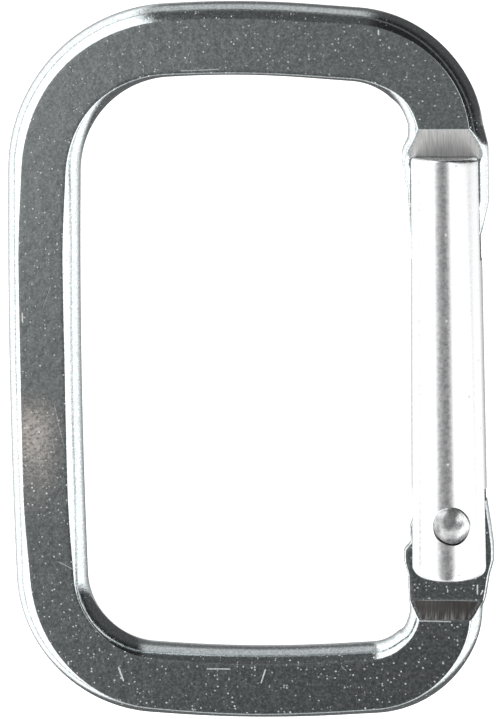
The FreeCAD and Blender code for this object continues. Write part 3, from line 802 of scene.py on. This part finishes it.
def pressed_aluminium():
    """The flats' bright finish, the rubbed place with its painted highlight, the two scraped slopes (the
    hinge one painted dark as shade) and the rough tongue.
    """
    material, tree, shader, place = metal("pressed_aluminium")
    height = wire(tree, "SeparateXYZ", {0: place}, output="Y")
    sideways = wire(tree, "SeparateXYZ", {0: place}, output="X")
    peel = wire(tree, "TexNoise", {"Vector": place, "Scale": 700.0, "Detail": 2.0})
    grain = wire(tree, "TexNoise", {"Vector": place, "Scale": 3600.0, "Detail": 3.0, "Roughness": 0.65})
    marks = all_marks(tree, place)
    rubbed_and_highlight = rubbed_patch_with_highlight(tree, grain, height, sideways)
    nose_slope, hinge_slope, tongue = (wire(tree, "Attribute", attribute_name=name, output="Fac")
                                       for name in ("nose_slope", "hinge_slope", "tongue"))
    stretched = wire(tree, "Mapping", {"Vector": place, "Scale": (1.0, 0.05, 0.05)})
    streaks = wire(tree, "TexNoise", {"Vector": stretched, "Scale": 8200.0, "Detail": 2.0, "Roughness": 0.7})
    slope_start, slope_middle = (tang_foot - TANG_STEP) * MM, (tang_foot - 0.4 * TANG_STEP) * MM
    low_down = between(tree, height, slope_start, slope_middle, 1.0, 0.15)

    clean = tint(tree, between(tree, grain, 0.32, 0.72), (0.54, 0.595, 0.61), (0.90, 0.945, 0.96))
    # Painted highlight: the rubbed place is coloured lighter and warm; its roughness is real dulling.
    colour = mixed(tree, rubbed_and_highlight, clean, (0.93, 0.86, 0.80, 1))
    colour = mixed(tree, marks, colour, (0.96, 0.96, 0.96, 1))
    scraped_nose = tint(tree, between(tree, streaks, 0.3, 0.7), (0.62, 0.62, 0.61), (0.84, 0.84, 0.83))
    # Painted shade: the hinge slope is coloured far darker than the nose slope, with lighter streaks only
    # near its thick end.
    bright_streaks = times(tree, between(tree, streaks, 0.42, 0.66), low_down)
    hinge_slope_painted_shade = tint(tree, bright_streaks, (0.12, 0.112, 0.105), (0.55, 0.54, 0.53))
    colour = mixed(tree, nose_slope, colour, scraped_nose)
    colour = mixed(tree, hinge_slope, colour, hinge_slope_painted_shade)

    slope = sums(tree, "MAXIMUM", nose_slope, hinge_slope)
    rough = between(tree, grain, 0.3, 0.8, 0.10, 0.17)
    for share, extra in ((rubbed_and_highlight, 0.24), (marks, 0.40), (sums(tree, "MAXIMUM", slope, tongue), 0.32)):
        rough = sums(tree, "ADD", rough, times(tree, share, extra))
    relief = sums(tree, "ADD", times(tree, peel, 1.6), times(tree, grain, 0.35))
    relief = sums(tree, "SUBTRACT", relief, times(tree, marks, 1.2))
    relief = sums(tree, "ADD", relief, times(tree, times(tree, streaks, slope), 1.2))
    finish(tree, shader, colour, rough, relief, 0.000010)
    return material


bar.data.materials.append(pressed_aluminium())

# %% [markdown]
# ## Tumbled aluminium, rivet, spring steel and brass
# The gate was turned and then tumbled, so it is softer: rougher, with a fine grain and small dents.
# The rivet is the same metal left as the hammer left it, with painted shade in the corner under its rim, on
# the lower side.

# %% The gate's finish
def tumbled_aluminium():
    """Softer than the flats: a fine grain, faint turning marks and small dents."""
    material, tree, shader, place = metal("tumbled_aluminium")
    grain = wire(tree, "TexNoise", {"Vector": place, "Scale": 2600.0, "Detail": 3.0, "Roughness": 0.6})
    lengthwise = wire(tree, "Mapping", {"Vector": place, "Scale": (1.0, 0.10, 1.0)})
    turning = wire(tree, "TexNoise", {"Vector": lengthwise, "Scale": 1500.0, "Detail": 2.0})
    dents = specks(tree, place, 900.0, 0.06, 0.20, 0.75, 0.85)
    colour = tint(tree, between(tree, grain, 0.3, 0.7), (0.84, 0.85, 0.87), (0.93, 0.93, 0.93))
    rough = sums(tree, "ADD", between(tree, grain, 0.3, 0.75, 0.26, 0.34), times(tree, dents, 0.25))
    relief = sums(tree, "ADD", times(tree, grain, 0.6), times(tree, turning, 0.8))
    relief = sums(tree, "SUBTRACT", relief, times(tree, dents, 1.2))
    finish(tree, shader, colour, rough, relief, 0.000008)
    return material


gate.data.materials.append(tumbled_aluminium())


# %% The rivet, the spring and the pusher
def hammered_metal():
    """Blotched by the hammer, with painted shade in the corner under the rim's lower side."""
    material, tree, shader, place = metal("hammered_rivet")
    grain = wire(tree, "TexNoise", {"Vector": place, "Scale": 3000.0, "Detail": 3.0, "Roughness": 0.6})
    blotches = wire(tree, "TexNoise", {"Vector": place, "Scale": 900.0, "Detail": 2.0})
    clean = tint(tree, between(tree, blotches, 0.35, 0.6), (0.70, 0.71, 0.72), (0.90, 0.90, 0.90))
    painted_rim_shade = wire(tree, "Attribute", attribute_name="painted_rim_shade", output="Fac")
    # Painted shade: the rim's lower corner is coloured near black.
    colour = mixed(tree, painted_rim_shade, clean, (0.03, 0.03, 0.03, 1))
    rough = between(tree, grain, 0.3, 0.75, 0.16, 0.28)
    relief = sums(tree, "ADD", times(tree, grain, 0.8), times(tree, blotches, 1.5))
    finish(tree, shader, colour, rough, relief, 0.000012)
    return material


def drawn_metal(name, colour, darker, scale, roughness):
    """Wire or pin stock: fine streaks of a slightly darker tone."""
    material, tree, shader, place = metal(name)
    streaks = wire(tree, "TexNoise", {"Vector": place, "Scale": scale, "Detail": 3.0})
    streaked = tint(tree, between(tree, streaks, 0.3, 0.7), darker, colour)
    rough = between(tree, streaks, 0.3, 0.75, roughness, roughness + 0.12)
    finish(tree, shader, streaked, rough, streaks, 0.000006)
    return material


rivet.data.materials.append(hammered_metal())
spring_steel = drawn_metal("spring_steel", (0.62, 0.62, 0.64), (0.42, 0.42, 0.44), 3500.0, 0.24)
pin_brass = drawn_metal("pin_brass", (0.80, 0.64, 0.36), (0.62, 0.47, 0.24), 2800.0, 0.22)
spring.data.materials.append(spring_steel)
pusher.data.materials.append(pin_brass)

# %% [markdown]
# ## Floor
# A plain pale floor. It glows a little, so that it stays as light as the room, and mirrors don't
# see it: the metal shows the room's own lower half instead.

# %% Floor
def plain_floor(size=6.0):
    mesh = bpy.data.meshes.new("floor")
    s = size / 2
    mesh.from_pydata([(-s, -s, 0), (s, -s, 0), (s, s, 0), (-s, s, 0)], [], [(0, 1, 2, 3)])
    floor = bpy.data.objects.new("floor", mesh)
    bpy.context.scene.collection.objects.link(floor)
    material = bpy.data.materials.new("pale_floor")
    material.use_nodes = True
    shader = material.node_tree.nodes["Principled BSDF"]
    shader.inputs["Base Color"].default_value = (0.93, 0.93, 0.93, 1)
    shader.inputs["Roughness"].default_value = 0.9
    shader.inputs["Specular IOR Level"].default_value = 0.1
    shader.inputs["Emission Color"].default_value = (1, 1, 1, 1)
    shader.inputs["Emission Strength"].default_value = 0.85
    mesh.materials.append(material)
    floor.visible_glossy = False
    return floor


plain_floor()

# %% [markdown]
# ## Room
# Bright white walls all round, a dim ceiling, and dark cloths beyond the nose, low beyond the hinge
# end and towards the gate's upper corner: metal is drawn by what it mirrors, and the cloths give it
# its contrast. Each layer is blended over the ones before it.

# %% Room
world = bpy.data.worlds.new("studio")
bpy.context.scene.world = world
world.use_nodes = True
room = world.node_tree
room.nodes.clear()
look = wire(room, "TexCoord", output="Generated")
look_x, look_y, look_z = (wire(room, "SeparateXYZ", {0: look}, output=axis) for axis in "XYZ")


def blend(inside, base, level):
    """Base where inside is 0, level where it is 1."""
    return sums(room, "ADD", times(room, inside, level), times(room, rest_of(room, inside), base))


def cone(direction, inner, outer):
    """1 inside inner degrees of a direction, 0 outside outer degrees: from the cosine to it."""
    unit = np.array(direction) / np.linalg.norm(direction)
    cosine = wire(room, "VectorMath", {0: look, 1: unit}, output="Value", operation="DOT_PRODUCT")
    return between(room, cosine, math.cos(math.radians(outer)), math.cos(math.radians(inner)))


def sector(azimuth, inner, outer):
    """1 within inner degrees of an azimuth, at any height: from the cosine along the ground."""
    turn = math.radians(azimuth)
    forward = sums(room, "ADD", times(room, look_x, math.cos(turn)), times(room, look_y, math.sin(turn)))
    squares = sums(room, "ADD", times(room, look_x, look_x), times(room, look_y, look_y))
    ground = sums(room, "POWER", squares, 0.5)
    cosine = sums(room, "DIVIDE", forward, sums(room, "MAXIMUM", ground, 0.001))
    return between(room, cosine, math.cos(math.radians(outer)), math.cos(math.radians(inner)))


def above(height, soft=0.04):
    """1 where the looked-at direction is higher than a sine."""
    return between(room, look_z, height - soft, height + soft)


def below(height, soft=0.04):
    """1 where the looked-at direction is lower than a sine."""
    return rest_of(room, above(height, soft))


def both(a, b):
    return times(room, a, b)


under = between(room, look_z, -0.97, -0.5, 0.42, 1.5)
glow = blend(below(-0.02, 0.03), 1.7, under)
glow = blend(cone((0, -0.72, -0.69), 26, 42), glow, 0.15)
glow = blend(cone((-0.05, -0.87, 0.49), 17, 34), glow, 0.55)
beyond_nose = sector(88, 18, 26)
glow = blend(both(beyond_nose, below(0.9)), glow, 0.10)
glow = blend(both(beyond_nose, below(-0.10, 0.05)), glow, 0.60)
glow = blend(both(beyond_nose, below(-0.62, 0.12)), glow, 0.18)
glow = blend(cone((0, 0.4, 0.9), 15, 28), glow, 0.12)
dark_corner = between(room, look_z, -0.55, -0.15, 0.09, 0.025)
glow = blend(both(sector(40, 39, 49), below(0.87, 0.05)), glow, dark_corner)
over_gate = between(room, look_x, -0.20, -0.13, 0.36, 0.16)
over_nose = between(room, look_y, -0.27, -0.10, 0.48, 1.0)
ceiling = both(over_gate, over_nose)
glow = blend(cone((-0.13, -0.15, 1), 17, 30), glow, ceiling)
horizon_line = both(above(-0.045, 0.02), below(0.045, 0.02))
glow = blend(both(horizon_line, 0.75), glow, 0.25)
background = room.nodes.new("ShaderNodeBackground")
room.links.new(glow, background.inputs["Strength"])
background.inputs["Color"].default_value = (1, 1, 1, 1)
output = room.nodes.new("ShaderNodeOutputWorld")
room.links.new(background.outputs[0], output.inputs["Surface"])
bpy.context.scene.view_settings.view_transform = "Standard"
print("room nodes", len(room.nodes))

# %% [markdown]
# ## Camera
# The camera hangs less than half a metre over the object, leaning a little towards the gate and the
# nose, with a long lens.

# %% Camera
camera = bpy.data.cameras.new("camera")
camera_piece = bpy.data.objects.new("camera", camera)
bpy.context.scene.collection.objects.link(camera_piece)
distance, roll = 0.450, math.radians(-1.069)
tilt_x, tilt_y = math.radians(7.5), math.radians(10.5)
aim = np.array([0.00007, 0.00048, middle_z * MM])
away = np.array([math.tan(tilt_x), math.tan(tilt_y), 1.0])
away /= np.linalg.norm(away)
right = np.cross([0, 1.0, 0], away)
right /= np.linalg.norm(right)
upward = np.cross(away, right)
turned_right = right * math.cos(roll) + upward * math.sin(roll)
turned_up = upward * math.cos(roll) - right * math.sin(roll)
stand = np.eye(4)
stand[:3] = np.stack([turned_right, turned_up, away, aim + away * distance], 1)
camera_piece.matrix_world = Matrix(stand.tolist())
camera.sensor_width = 36.0
camera.lens = 204.71
camera.clip_end = 20
bpy.context.scene.camera = camera_piece
print("lens", round(camera.lens, 1), "mm")
